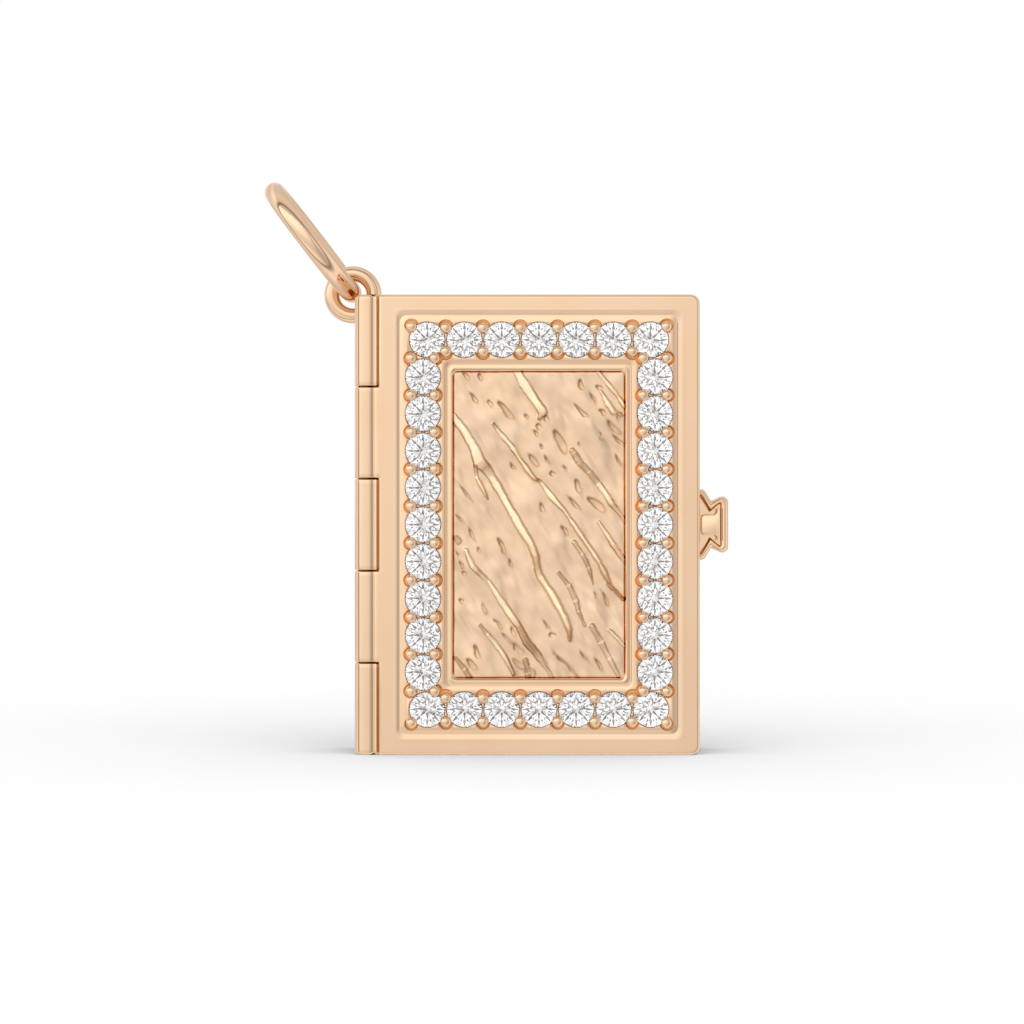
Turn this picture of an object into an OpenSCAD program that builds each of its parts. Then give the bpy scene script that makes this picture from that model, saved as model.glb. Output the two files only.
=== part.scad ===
// Book-shaped locket pendant in rose gold with a border of round brilliants.
// The closed locket stands on its bottom edge: +X to the clasp, +Z up, the front
// cover faces -Y, and the two covers meet at y = 0.

/* [Covers] */
// Width of the front cover, from the hinge side to the clasp side
cover_w = 11.88; // [11.8:0.02:12.5]
// Height of both covers
cover_h = 17; // [16.95:0.05:18.4]
// Thickness of the front cover without its raised rail
front_t = 1.12; // [1.12:0.02:1.3]
// Thickness of the back cover
back_t = 2.17; // [2.1:0.01:3]
// Gap between the closed covers
split_gap = 0.06; // [0.05:0.01:0.1]
// Radius of the corners on the clasp side
corner_r = 0.33; // [0.2:0.01:0.6]
// Radius of the long edges of the back cover
back_edge_r = 0.3; // [0.15:0.01:0.5]
// Wall round the back cover's hollow
tray_wall = 0.75; // [0.6:0.05:1]
// Thickness of the back cover behind its hollow
tray_floor = 0.7; // [0.5:0.05:1]
// Depth of the shallow picture recess inside the front cover
recess_depth = 0.2; // [0.1:0.05:0.2]

/* [Hinge] */
// Number of knuckles, the odd ones on the back cover
knuckles = 5; // [3:2:7]
// Gap between neighbouring knuckles
knuckle_gap = 0.06; // [0.05:0.01:0.12]
// Width of a knuckle, seen from the front
knuckle_w = 0.84; // [0.8:0.01:0.86]
// Radius of the knuckles' long corners
knuckle_r = 0.25; // [0.24:0.01:0.3]
// Radius of the hinge pin
pin_r = 0.2; // [0.15:0.01:0.22]
// Clearance between the pin and its bore
pin_clearance = 0.02; // [0.01:0.01:0.04]

/* [Stones] */
// Diameter of a stone at its girdle
stone_d = 1.3; // [1.25:0.01:1.31]
// Stones in the top row and in the bottom row, corners included
row_stones = 7; // [5:1:7]
// Stones in each side column between the corner stones
column_stones = 9; // [7:1:9]
// Distance from the cover's side edge to the line of the side columns
column_inset = 1.66; // [1.6:0.01:1.7]
// Distance from the cover's top or bottom edge to the line of a row
row_inset = 1.68; // [1.6:0.01:1.75]
// How far the corner stones stand in from the line of the columns
corner_shift = 0.154; // [0:0.001:0.16]
// Table diameter as a share of the stone's diameter
table_share = 0.56; // [0.53:0.01:0.62]
// Angle of the crown's main facets
crown_angle = 34.5; // [32:0.5:36]
// Angle of the pavilion's main facets
pavilion_angle = 41; // [40:0.5:42]

/* [Rail and beads] */
// Height of the raised stone rail above the front cover's face
rail_rise = 0.12; // [0.12:0.01:0.3]
// Width of the soft slope outside the rail
slope_w = 0.33; // [0.2:0.01:0.36]
// Diameter of a bead that holds a stone
bead_d = 0.42; // [0.36:0.01:0.44]
// Distance of a bead from the line of its stones
bead_offset = 0.435; // [0.42:0.005:0.45]
// Gap round a bead where it is cut out of the rail
bead_gap = 0.05; // [0.03:0.01:0.06]

/* [Panel] */
// Width of the bark-textured panel
panel_w = 6.31; // [6.2:0.01:6.33]
// Height of the bark-textured panel
panel_h = 11.29; // [11.2:0.01:11.35]
// Gap between the panel and the wall of its pocket
panel_gap = 0.045; // [0.03:0.005:0.06]
// Width of the moulded lip round the panel
lip_w = 0.18; // [0.14:0.01:0.2]
// Height of the tallest vein on the panel
vein_rise = 0.1; // [0.05:0.01:0.14]
// Angle of the grain below the horizontal
grain_angle = 57; // [50:1:65]

/* [Clasp] */
// Reach of the keeper loop beyond the covers
keeper_reach = 1.11; // [1.05:0.01:1.2]
// Depth of the keeper loop, front to back
keeper_depth = 1.3; // [1.1:0.05:1.4]
// Height of the stem of the front cover's tab
stem_h = 0.78; // [0.7:0.01:0.8]

/* [Rings] */
// Wire diameter of the small soldered ring
bail_wire_d = 0.57; // [0.5:0.01:0.58]
// Diameter of the hole in the soldered ring
bail_hole_d = 1.02; // [1:0.01:1.1]
// Wire diameter of the jump ring
jump_wire_d = 0.76; // [0.7:0.01:0.77]
// Outer diameter of the jump ring
jump_d = 5.5; // [5.3:0.05:5.6]
// Lean of the jump ring from upright, towards the hinge side
jump_lean = 37.3; // [35:0.1:40]
// Turn of the jump ring about its own long direction
jump_turn = 1.9; // [0:0.1:3]

/* [Hidden] */
stone_names = [for (i = [1 : 2 * (row_stones + column_stones)]) str("stone_", i < 10 ? "0" : "", i)];

$fn = 48;
gold = [0.93, 0.72, 0.56];
diamond = [0.93, 0.95, 0.97, 0.6];
sink = 0.2; // how far a raised shape reaches into what carries it
cut = 1; // how far a cutter reaches beyond a surface

side_x = cover_w / 2;
mid_z = cover_h / 2;
front_back_y = -split_gap / 2;
front_y = front_back_y - front_t;
back_front_y = split_gap / 2;
back_y = back_front_y + back_t;
rail_y = front_y - rail_rise;

hinge_gap = 0.05; // between a fixed knuckle and the front cover's edge
knuckle_right = -side_x - hinge_gap;
knuckle_left = knuckle_right - knuckle_w;
pin_x = (knuckle_left + knuckle_right) / 2;
pin_y = front_y + 0.55; // middle of the front cover's thickness
knuckle_back_y = front_back_y - 0.02;
knuckle_pitch = cover_h / knuckles;
swing_r = 0.625; // room round the pin for a fixed knuckle's corners
core_r = 0.58; // round side of a fixed knuckle, under the front cover's edge
bore_r = pin_r + pin_clearance;

stone_r = stone_d / 2;
column_x = side_x - column_inset;
row_z = mid_z - row_inset;
row_pitch = 2 * (column_x - corner_shift) / (row_stones - 1);
column_pitch = 2 * row_z / (column_stones + 1);
girdle_y = rail_y + 0.08;
girdle_h = 0.03;
table_r = stone_r * table_share;
crown_h = (stone_r - table_r) * tan(crown_angle);
pavilion_h = stone_r * tan(pavilion_angle);
seat_gap = 0.01;
seat_r = stone_r + seat_gap;
bead_r = bead_d / 2;
bead_top = rail_y + 0.01; // centre height of a bead's round top
pocket_y = rail_y + 0.1; // bottom of the groove round a bead

pocket_w = panel_w + 2 * panel_gap;
pocket_h = panel_h + 2 * panel_gap;
groove_y = front_y + 0.01; // ground between the rail and the lip
lip_y = groove_y - 0.08;
ground_gap = 0.02; // flat ground between the rail's foot and the lip
inner_slope_w = 0.17;
panel_floor_y = -0.53;
panel_back_y = panel_floor_y - 0.04;
panel_face_y = -1.0;
panel_columns = 36;
panel_rows = 62;

clasp_gap = 0.05; // between the keeper loop and the front cover
keeper_front_y = -0.62;
web_front_y = -0.1; // floor of the keeper loop, behind the tab
tab_front_y = -0.82;
tab_back_y = -0.2;

bail_x = -side_x - 1.07;
bail_z = cover_h + 0.18;
bail_y = 1.35;
bail_r = (bail_hole_d + bail_wire_d) / 2;
notch_r = bail_hole_d / 2 + 0.06; // of the back cover's corner inside the soldered ring
jump_r = (jump_d - jump_wire_d) / 2;
jump_play = 0.1; // of the jump ring's wire from the middle of the bail's hole
jump_dir = [sin(jump_lean), 0, -cos(jump_lean)]; // from the jump ring's middle to the bail

// Points of an arc from angle a0 to a1, both ends included
function arc(x, y, r, a0, a1, n = 6) =
    [for (i = [0 : n]) let (a = a0 + (a1 - a0) * i / n) [x + r * cos(a), y + r * sin(a)]];

// A stone's place in the border: row and column positions as [x, z] from the cover's middle
row_places = [for (s = [1, -1]) for (i = [0 : row_stones - 1])
    [(i - (row_stones - 1) / 2) * row_pitch, s * row_z]];
column_places = [for (s = [-1, 1]) for (i = [1 : column_stones])
    [s * column_x, row_z - i * column_pitch]];
stone_places = concat(row_places, column_places);

// Beads: a pair at each midpoint between neighbours, and one outside each corner stone
row_beads = [for (s = [1, -1]) for (t = [1, -1]) for (i = [0 : row_stones - 2])
    [(i - (row_stones - 2) / 2) * row_pitch, s * (row_z + t * bead_offset)]];
column_beads = [for (s = [-1, 1]) for (t = [1, -1]) for (i = [0 : column_stones])
    [s * (column_x + t * bead_offset), row_z - (i + 0.5) * column_pitch]];
corner_beads = [for (sx = [-1, 1]) for (sz = [-1, 1])
    [sx * (column_x + 0.418), sz * (row_z + 0.483)]];
bead_places = concat(row_beads, column_beads, corner_beads);

// Sections of the panel's veins: both ends as x and z from its middle, half-width, height share
veins = [
    // x0, z0, x1, z1, half_w, rise
    [-0.80, 5.65, 0.00, 4.00, 0.16, 0.9],
    [-3.00, 3.80, -1.75, 1.80, 0.14, 0.9],
    [-1.75, 1.80, -0.70, 0.00, 0.15, 1.0],
    [-0.70, 0.00, -0.05, -1.80, 0.13, 0.7],
    [-0.05, -1.80, 1.15, -4.05, 0.14, 1.0],
    [-1.55, 3.60, -0.25, 1.70, 0.08, 0.8],
    [0.05, 1.60, 1.35, -0.05, 0.09, 0.9],
    [1.30, 0.05, 2.55, -2.10, 0.08, 0.8],
    [-2.70, -0.90, -1.45, -2.60, 0.09, 0.8],
    [-1.45, -2.60, 0.15, -5.10, 0.12, 0.9],
    [1.35, 2.65, 2.85, 0.50, 0.12, 0.6],
    [2.25, 0.10, 3.10, -1.20, 0.08, 0.6],
    [0.75, -1.75, 1.75, -3.60, 0.08, 0.6],
    [1.95, -3.75, 3.05, -5.60, 0.10, 0.7],
    [-2.20, -3.70, -0.95, -5.50, 0.08, 0.7],
    [2.40, 5.10, 3.05, 4.40, 0.09, 0.6],
];

// Share of a vein's height at a point: a ridge that climbs from its first end to its second
function vein_height(x, z, v) =
    let (dx = v[2] - v[0], dz = v[3] - v[1],
         t = max(0, min(1, ((x - v[0]) * dx + (z - v[1]) * dz) / (dx * dx + dz * dz))),
         d = norm([x - v[0] - t * dx, z - v[1] - t * dz]))
    v[5] * (0.45 + 0.55 * t) * exp(-pow(d / v[4], 4));

// Height of the bark texture above the panel's face
function bark(x, z) =
    let (along = x * cos(grain_angle) - z * sin(grain_angle),
         across = x * sin(grain_angle) + z * cos(grain_angle),
         vein = max([for (v = veins) vein_height(x, z, v)]),
         swell = 0.16 * sin(360 * across / 1.7 + 50 * sin(360 * along / 6.3)),
         ripple = 0.07 * sin(360 * across / 0.8 + 90 * sin(360 * along / 2.9)))
    vein_rise * (0.7 * vein + swell + ripple);

// Outline of a cover seen from the front, its clasp-side corners rounded
module cover_outline(left) {
    polygon(concat(
        [[left, 0]],
        arc(side_x - corner_r, corner_r, corner_r, -90, 0),
        arc(side_x - corner_r, cover_h - corner_r, corner_r, 0, 90),
        [[left, cover_h]]));
}

// A plate with an outline in X and Z, from y0 back to y1
module upright(y0, y1) {
    translate([0, y1, 0]) rotate([90, 0, 0]) linear_extrude(y1 - y0) children();
}

// Everything within half_w and half_h of the cover's middle, where both grow by grow at
// y0 and by nothing at y1; steps of a soft S-shaped flank, then straight on past y0 and y1
module soft_block(half_w, half_h, grow, y0, y1, past, steps = 6) {
    flank = [for (i = [0 : steps]) [grow * (1 - i / steps), y0 + (y1 - y0) * (1 - cos(180 * i / steps)) / 2]];
    function side(half) = concat([[half + grow, y0 + sign(y0 - y1) * past[0]]],
        [for (p = flank) [half + p[0], p[1]]],
        [[half, y1 + sign(y1 - y0) * past[1]]]);
    function profile(half) = concat(side(half),
        [for (i = [len(side(half)) - 1 : -1 : 0]) [-side(half)[i][0], side(half)[i][1]]]);
    intersection() {
        linear_extrude(cover_h) polygon(profile(half_w));
        translate([-side_x, 0, mid_z]) rotate([0, 90, 0])
            linear_extrude(cover_w) polygon(profile(half_h));
    }
}

// Room for one stone: its shape turned, seat_gap larger, girdle at y = 0
module stone_room() {
    rotate([90, 0, 0]) rotate_extrude()
        polygon([[0, -pavilion_h - 0.03], [seat_r, -girdle_h], [seat_r, girdle_h],
                 [table_r + 0.03, crown_h + girdle_h], [0, crown_h + girdle_h]]);
}

// Places its children at every given [x, z] place of the border
module at_places(places) {
    for (p = places) translate([p[0], 0, mid_z + p[1]]) children();
}

// The border: rail with stone seats and beads, on the front cover's face
module border() {
    rail_half_w = column_x + stone_r + 0.09;
    rail_half_h = row_z + stone_r + 0.15;
    difference() {
        union() {
            difference() {
                soft_block(rail_half_w, rail_half_h, slope_w, front_y, rail_y, [sink, 0]);
                at_places(stone_places) translate([0, girdle_y - girdle_h, 0]) rotate([90, 0, 0])
                    cylinder(h = cut, r = seat_r + 0.004);
                at_places(bead_places) translate([0, pocket_y, 0]) rotate([90, 0, 0])
                    cylinder(h = cut, r = bead_r + bead_gap);
            }
            at_places(bead_places) {
                translate([0, pocket_y + 0.1, 0]) rotate([90, 0, 0])
                    cylinder(h = pocket_y + 0.1 - bead_top, r = bead_r);
                translate([0, bead_top, 0]) sphere(r = bead_r);
            }
        }
        lip_half_w = pocket_w / 2 + lip_w;
        lip_half_h = pocket_h / 2 + lip_w;
        soft_block(lip_half_w + ground_gap, lip_half_h + ground_gap, inner_slope_w,
            rail_y, groove_y, [cut, cut]);
    }
}

// Moulded lip round the panel's pocket
module lip() {
    soft_block(pocket_w / 2 + 0.05, pocket_h / 2 + 0.05, lip_w - 0.05, groove_y, lip_y, [sink, 0]);
}

// Lengths of the knuckles of one cover: first = 0 for the back cover, 1 for the front cover
module for_knuckles(first) {
    for (i = [first : 2 : knuckles - 1]) {
        low = i * knuckle_pitch + (i == 0 ? 0 : knuckle_gap / 2);
        high = (i + 1) * knuckle_pitch - (i == knuckles - 1 ? 0 : knuckle_gap / 2);
        translate([0, 0, low]) linear_extrude(high - low) children();
    }
}

module pin_bore() {
    translate([pin_x, pin_y, -cut]) cylinder(h = cover_h + 2 * cut, r = bore_r);
}

// Tab on the front cover: a neck, a stem and a fishtail end that lies inside the keeper
module tab() {
    tail_x = side_x + keeper_reach - 0.36;
    stem_half = stem_h / 2;
    half = concat([[side_x + 0.11, stem_half - 0.08], [side_x + 0.19, stem_half]],
        [[tail_x - 0.2, stem_half]],
        arc(tail_x - 0.2, stem_half + 0.16, 0.16, -90, -25, 4),
        [[tail_x - 0.03, 0.62], [tail_x, 0.58]]);
    outline = concat([for (p = half) [p[0], mid_z + p[1]]],
        [for (i = [len(half) - 1 : -1 : 0]) [half[i][0], mid_z - half[i][1]]]);
    upright(tab_front_y, tab_back_y) polygon(outline);
    translate([side_x - sink, tab_front_y + 0.2, mid_z - stem_half + 0.08])
        cube([0.5, tab_back_y - tab_front_y - 0.25, stem_h - 0.16]);
}

module front_cover() {
    color(gold) difference() {
        union() {
            difference() {
                union() {
                    upright(front_y, front_back_y) cover_outline(-side_x);
                    border();
                    for_knuckles(1) polygon(concat(
                        arc(knuckle_left + knuckle_r, front_y + knuckle_r, knuckle_r, -90, -180),
                        arc(knuckle_left + knuckle_r, knuckle_back_y - knuckle_r, knuckle_r, 180, 90),
                        [[-side_x + sink, knuckle_back_y], [-side_x + sink, front_y]]));
                }
                soft_block(pocket_w / 2 + lip_w + ground_gap, pocket_h / 2 + lip_w + ground_gap, 0,
                    groove_y - 0.2, groove_y, [cut, 0]);
            }
            lip();
            tab();
        }
        translate([-pocket_w / 2, front_y - cut, mid_z - pocket_h / 2])
            cube([pocket_w, panel_floor_y - front_y + cut, pocket_h]);
        at_places(stone_places) translate([0, girdle_y, 0]) stone_room();
        recess_half_w = side_x - tray_wall - 0.55;
        recess_half_h = mid_z - tray_wall - 0.45;
        translate([-recess_half_w, front_back_y - recess_depth, mid_z - recess_half_h])
            cube([2 * recess_half_w, recess_depth + cut, 2 * recess_half_h]);
        pin_bore();
        for (i = [0 : 2 : knuckles - 1])
            translate([pin_x, pin_y, i == 0 ? -cut : i * knuckle_pitch - knuckle_gap / 2])
                cylinder(h = knuckle_pitch + knuckle_gap / 2 + (i == 0 || i == knuckles - 1 ? cut : knuckle_gap / 2),
                    r = swing_r);
    }
}

// Keeper on the back cover: a loop bent to a bow-tie that the tab lies in, closed behind
module keeper() {
    left = side_x + clasp_gap;
    right = side_x + keeper_reach;
    outer = concat([[left, 1.30], [left + 0.16, 1.28], [left + 0.22, 1.22]],
        [[left + 0.40, 0.90], [left + 0.44, 0.88], [left + 0.49, 0.90]],
        [[right - 0.34, 1.0]],
        arc(right - 0.24, 0.81, 0.24, 90, 0, 5));
    inner = [[left, 1.03], [left + 0.33, 0.47], [left + 0.36, 0.45], [left + 0.40, 0.46],
        [right - 0.33, 0.77], [right - 0.31, 0.73]];
    function mirrored(half) = concat([for (p = half) [p[0], mid_z + p[1]]],
        [for (i = [len(half) - 1 : -1 : 0]) [half[i][0], mid_z - half[i][1]]]);
    difference() {
        upright(keeper_front_y, keeper_front_y + keeper_depth) polygon(mirrored(outer));
        upright(keeper_front_y - cut, web_front_y)
            polygon(concat([[left - cut, mid_z + 1.03]], mirrored(inner), [[left - cut, mid_z - 1.03]]));
    }
    foot_front_y = back_front_y + 0.12;
    foot_half_h = 1.25;
    translate([side_x - sink, foot_front_y, mid_z - foot_half_h])
        cube([sink + clasp_gap + 0.1, keeper_front_y + keeper_depth - foot_front_y - 0.04, 2 * foot_half_h]);
}

module bail() {
    translate([bail_x, bail_y, bail_z]) rotate([90, 0, 0])
        rotate_extrude() translate([bail_r, 0]) circle(d = bail_wire_d);
}

module back_cover() {
    color(gold) difference() {
        union() {
            difference() {
                intersection() {
                    upright(back_front_y, back_y) cover_outline(knuckle_left);
                    linear_extrude(cover_h) polygon(concat(
                        [[side_x + cut, back_front_y - cut], [side_x + cut, back_front_y]],
                        [[side_x, back_front_y]],
                        arc(side_x - back_edge_r, back_y - back_edge_r, back_edge_r, 0, 90),
                        arc(knuckle_left + back_edge_r, back_y - back_edge_r, back_edge_r, 90, 180),
                        [[knuckle_left, back_front_y - cut]]));
                }
                translate([-side_x + tray_wall, back_front_y - cut, tray_wall + 0.05])
                    cube([cover_w - 2 * tray_wall, back_t - tray_floor + cut, cover_h - 2 * tray_wall - 0.1]);
                translate([bail_x, back_y + cut, bail_z]) rotate([90, 0, 0])
                    cylinder(h = back_t + 2 * cut, r = notch_r);
            }
            core_turn = acos((knuckle_right - pin_x) / core_r);
            for_knuckles(0) polygon(concat(
                [[knuckle_right, back_front_y + 0.1]],
                arc(pin_x, pin_y, core_r, core_turn, -core_turn),
                [[knuckle_right, front_y + knuckle_r]],
                arc(knuckle_right - knuckle_r, front_y + knuckle_r, knuckle_r, 0, -90),
                arc(knuckle_left + knuckle_r, front_y + knuckle_r, knuckle_r, -90, -180),
                [[knuckle_left, back_front_y + 0.1]]));
            keeper();
            bail();
        }
        pin_bore();
    }
}

module hinge_pin() {
    color(gold) translate([pin_x, pin_y, 0.05]) cylinder(h = cover_h - 0.1, r = pin_r);
}

module jump_ring() {
    centre = [bail_x, bail_y, bail_z] - (jump_play + jump_r) * jump_dir;
    color(gold) translate(centre) rotate([0, 90 - jump_lean, 0]) rotate([jump_turn, 0, 0])
        rotate_extrude($fn = 96) translate([jump_r, 0]) circle(d = jump_wire_d);
}

// Panel: a plate whose front face is the bark texture, worked out on a grid
module panel() {
    function px(i) = -panel_w / 2 + panel_w * i / panel_columns;
    function pz(j) = -panel_h / 2 + panel_h * j / panel_rows;
    nx = panel_columns + 1;
    nz = panel_rows + 1;
    face = [for (j = [0 : panel_rows]) for (i = [0 : panel_columns])
        [px(i), panel_face_y - bark(px(i), pz(j)), mid_z + pz(j)]];
    edge = concat([for (i = [0 : panel_columns - 1]) i],
        [for (j = [0 : panel_rows - 1]) j * nx + panel_columns],
        [for (i = [panel_columns : -1 : 1]) panel_rows * nx + i],
        [for (j = [panel_rows : -1 : 1]) j * nx]);
    back = [for (k = edge) [face[k][0], panel_back_y, face[k][2]]];
    n = len(edge);
    quads = [for (j = [0 : panel_rows - 1]) for (i = [0 : panel_columns - 1]) j * nx + i];
    color(gold) polyhedron(concat(face, back, [[0, panel_back_y, mid_z]]), concat(
        [for (k = quads) [k, k + nx, k + nx + 1]],
        [for (k = quads) [k, k + nx + 1, k + 1]],
        [for (m = [0 : n - 1]) [edge[m], edge[(m + 1) % n], nx * nz + (m + 1) % n, nx * nz + m]],
        [for (m = [0 : n - 1]) [nx * nz + m, nx * nz + (m + 1) % n, nx * nz + n]]));
}

// Round brilliant with its girdle at y = 0 and its table towards -Y
module brilliant() {
    function ring(r, h, count, turn) = [for (i = [0 : count - 1])
        [r * cos(360 * i / count + turn), r * sin(360 * i / count + turn), h]];
    half_step = 22.5;
    upper = girdle_h / 2;
    star_r = (table_r * cos(half_step) + stone_r) / 2;
    star_h = upper + crown_h * (stone_r - star_r * cos(half_step)) / (stone_r - table_r);
    lower_r = 0.23 * stone_r;
    lower_h = -upper - pavilion_h * (1 - lower_r * cos(half_step) / stone_r);
    table = ring(table_r, upper + crown_h, 8, 0); // points 0 to 7
    stars = ring(star_r, star_h, 8, half_step); // points 8 to 15
    girdle_top = ring(stone_r, upper, 16, 0); // points 16 to 31
    girdle_low = ring(stone_r, -upper, 16, 0); // points 32 to 47
    lows = ring(lower_r, lower_h, 8, half_step); // points 48 to 55
    culet = [[0, 0, -upper - pavilion_h]]; // point 56
    faces = concat(
        [[for (i = [7 : -1 : 0]) i]],
        [for (i = [0 : 7]) [i, (i + 1) % 8, 8 + i]],
        [for (i = [0 : 7]) [i, 8 + i, 16 + 2 * i, 8 + (i + 7) % 8]],
        [for (i = [0 : 7]) [8 + i, 17 + 2 * i, 16 + 2 * i]],
        [for (i = [0 : 7]) [8 + i, 16 + (2 * i + 2) % 16, 17 + 2 * i]],
        [for (j = [0 : 15]) [16 + j, 16 + (j + 1) % 16, 32 + (j + 1) % 16, 32 + j]],
        [for (i = [0 : 7]) [48 + i, 32 + 2 * i, 33 + 2 * i]],
        [for (i = [0 : 7]) [48 + i, 33 + 2 * i, 32 + (2 * i + 2) % 16]],
        [for (i = [0 : 7]) [56, 48 + (i + 7) % 8, 32 + 2 * i, 48 + i]]);
    rotate([90, 0, 0]) polyhedron(concat(table, stars, girdle_top, girdle_low, lows, culet), faces);
}

module stone(i) {
    p = stone_places[i];
    color(diamond) translate([p[0], girdle_y, mid_z + p[1]]) brilliant();
}

back_cover();
hinge_pin();
front_cover();
panel();
jump_ring();
for (i = [0 : len(stone_names) - 1]) stone(i);
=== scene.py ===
import math

import bpy
import numpy as np
from mathutils import Matrix


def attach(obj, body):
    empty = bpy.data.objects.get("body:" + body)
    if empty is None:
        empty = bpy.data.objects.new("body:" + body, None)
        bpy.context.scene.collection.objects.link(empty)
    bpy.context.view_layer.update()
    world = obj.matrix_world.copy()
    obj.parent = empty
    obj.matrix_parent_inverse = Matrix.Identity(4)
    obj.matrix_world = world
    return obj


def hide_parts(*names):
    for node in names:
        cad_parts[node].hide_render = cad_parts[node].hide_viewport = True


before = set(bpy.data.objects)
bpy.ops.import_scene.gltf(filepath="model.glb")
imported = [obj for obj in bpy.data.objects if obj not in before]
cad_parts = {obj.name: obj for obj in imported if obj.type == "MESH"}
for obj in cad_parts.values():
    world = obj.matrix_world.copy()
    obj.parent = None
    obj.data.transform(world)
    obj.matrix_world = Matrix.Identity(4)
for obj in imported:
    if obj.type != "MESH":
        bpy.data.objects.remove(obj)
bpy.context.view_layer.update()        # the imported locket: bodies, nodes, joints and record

mm = 0.001
coverH = 17  # height of both covers
midZ = coverH / 2
frontY = -1.15  # face of the front cover
softAngle = 32  # edges that bend less than this, in degrees, are shaded soft


# Small steps that every piece uses

def letGo():
    if bpy.context.mode != "OBJECT":
        bpy.ops.object.mode_set(mode="OBJECT")
    bpy.ops.object.select_all(action="DESELECT")


def take(piece):
    letGo()
    piece.select_set(True)
    bpy.context.view_layer.objects.active = piece


def settle(name):
    # puts the place and size of a new primitive into its mesh
    piece = bpy.context.active_object
    bpy.ops.object.transform_apply(location=True, rotation=True, scale=True)
    piece.name = piece.data.name = name
    return piece


def addBox(name, low, high):
    letGo()
    bpy.ops.mesh.primitive_cube_add(size=1, location=[(a + b) / 2 * mm for a, b in zip(low, high)])
    bpy.context.active_object.scale = [(b - a) * mm for a, b in zip(low, high)]
    return settle(name)


def addRod(name, radius, start, end, sides):
    # a round rod between two points on one line along x, y or z
    letGo()
    along = [b - a for a, b in zip(start, end)]
    turn = (0, math.pi / 2, 0) if along[0] else (math.pi / 2, 0, 0) if along[1] else (0, 0, 0)
    bpy.ops.mesh.primitive_cylinder_add(
        vertices=sides, radius=radius * mm, depth=sum(along) * mm, rotation=turn,
        location=[(a + b) / 2 * mm for a, b in zip(start, end)])
    return settle(name)


def addRing(name, ring, turn, segments):
    # a ring of round wire, which lies flat before it is turned
    letGo()
    bpy.ops.mesh.primitive_torus_add(location=[v * mm for v in ring["place"]], rotation=turn,
                                     major_radius=ring["radius"] * mm, minor_radius=ring["wireR"] * mm,
                                     major_segments=segments[0], minor_segments=segments[1])
    return settle(name)


def roundEdges(piece, radius, segments, test, profile=0.5):
    # bevels the edges whose two points, in mm, pass a test
    take(piece)
    bpy.context.tool_settings.mesh_select_mode = (False, True, False)
    bpy.ops.object.mode_set(mode="EDIT")
    bpy.ops.mesh.select_all(action="DESELECT")
    bpy.ops.object.mode_set(mode="OBJECT")
    mesh = piece.data
    for edge in mesh.edges:
        edge.select = test(*(mesh.vertices[i].co / mm for i in edge.vertices))
    bpy.ops.object.mode_set(mode="EDIT")
    bpy.ops.mesh.bevel(offset=radius * mm, offset_type="OFFSET", segments=segments,
                       profile=profile, affect="EDGES", clamp_overlap=False)
    letGo()


def at(value, wanted):
    return abs(value - wanted) < 1e-3


def growRows(rows):
    # extrudes the selected face row by row: each row is half width, half height, y
    for (w0, h0, y0), (w1, h1, y1) in zip(rows, rows[1:]):
        bpy.ops.mesh.extrude_region_move(TRANSFORM_OT_translate={"value": (0, (y1 - y0) * mm, 0)})
        bpy.ops.transform.resize(value=(w1 / w0, 1, h1 / h0), center_override=(0, 0, midZ * mm))


def openUp():
    # edit mode with the whole mesh selected
    bpy.ops.object.mode_set(mode="EDIT")
    bpy.ops.mesh.select_all(action="SELECT")


def closeUp(piece):
    bpy.ops.mesh.select_all(action="SELECT")
    bpy.ops.mesh.normals_make_consistent(inside=False)
    letGo()
    return piece


def addFramed(name, cornerR, rows, segments=6):
    # a rectangle with round corners grown row by row about the covers' middle
    letGo()
    halfW, halfH, y = rows[0]
    bpy.ops.mesh.primitive_plane_add(size=2 * mm, location=(0, y * mm, midZ * mm),
                                     rotation=(math.pi / 2, 0, 0))
    bpy.context.active_object.scale = (halfW, halfH, 1)
    piece = settle(name)
    openUp()
    bpy.ops.mesh.bevel(offset=cornerR * mm, offset_type="OFFSET", segments=segments,
                       profile=0.5, affect="VERTICES", clamp_overlap=False)
    bpy.ops.mesh.select_all(action="SELECT")
    growRows(rows)
    return closeUp(piece)


def addTurned(name, rows, sides):
    # a round shape about a line along y through the covers' middle, closed to a point at its
    # end: each row is radius, y
    letGo()
    bpy.ops.mesh.primitive_circle_add(vertices=sides, radius=rows[0][0] * mm, fill_type="NGON",
                                      location=(0, rows[0][1] * mm, midZ * mm),
                                      rotation=(math.pi / 2, 0, 0))
    piece = settle(name)
    openUp()
    growRows([(r, r, y) for r, y in rows])
    bpy.ops.mesh.merge(type="COLLAPSE")
    return closeUp(piece)


def addDrawn(name, outline, way, start, rises):
    # an outline across y or z, extruded along it in one or more steps
    letGo()
    bpy.ops.mesh.primitive_circle_add(vertices=len(outline), radius=mm, fill_type="NGON")
    piece = settle(name)
    for vertex, (x, other) in zip(piece.data.vertices, outline):
        vertex.co = [v * mm for v in ((x, start, other) if way == "y" else (x, other, start))]
    openUp()
    for rise in rises:
        bpy.ops.mesh.extrude_region_move(TRANSFORM_OT_translate={
            "value": (0, rise * mm, 0) if way == "y" else (0, 0, rise * mm)})
    return closeUp(piece)


def applyStep(piece, kind, **settings):
    take(piece)
    step = piece.modifiers.new(kind.lower(), kind)
    for key, value in settings.items():
        setattr(step, key, value)
    bpy.ops.object.modifier_apply(modifier=step.name)
    return piece


def combine(piece, tool, operation):
    applyStep(piece, "BOOLEAN", object=tool, operation=operation, solver="MANIFOLD")
    bpy.data.objects.remove(tool)
    if not piece.data.polygons:
        raise RuntimeError(f"{piece.name} was lost in a {operation.lower()}")
    return piece


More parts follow.
